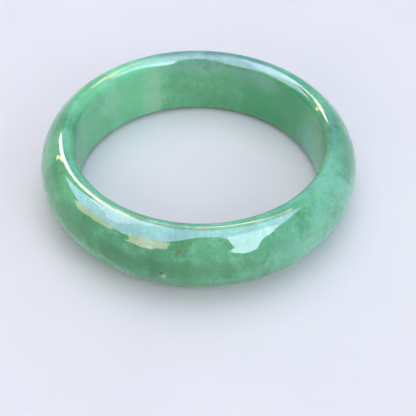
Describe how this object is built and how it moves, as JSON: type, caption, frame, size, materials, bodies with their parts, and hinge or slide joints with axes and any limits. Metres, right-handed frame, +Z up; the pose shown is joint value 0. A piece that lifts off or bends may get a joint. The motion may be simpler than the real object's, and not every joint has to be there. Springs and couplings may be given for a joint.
{
  "type": "bangle bracelet",
  "caption": "Closed rigid bangle carved from one piece of polished translucent green stone, with a straight inner wall, a domed outside and rounded rims.",
  "frame": {"origin": "centre of the base, on the bangle's axis, in the plane of the lower land that it lies on", "axes": "+Z up, along the bangle's axis; +X and +Y in the plane it lies on, with -Y towards the side that carries the stained fracture"},
  "size_m": [0.072, 0.072, 0.0164],
  "materials": {
    "polished_stone": "high polish, translucent mid green with soft clouding, pale milky patches, fine speckle and one iron-stained healed fracture"
  },
  "bodies": {
    "root": {"bangle_ring": "polished_stone"}
  },
  "joints": []
}
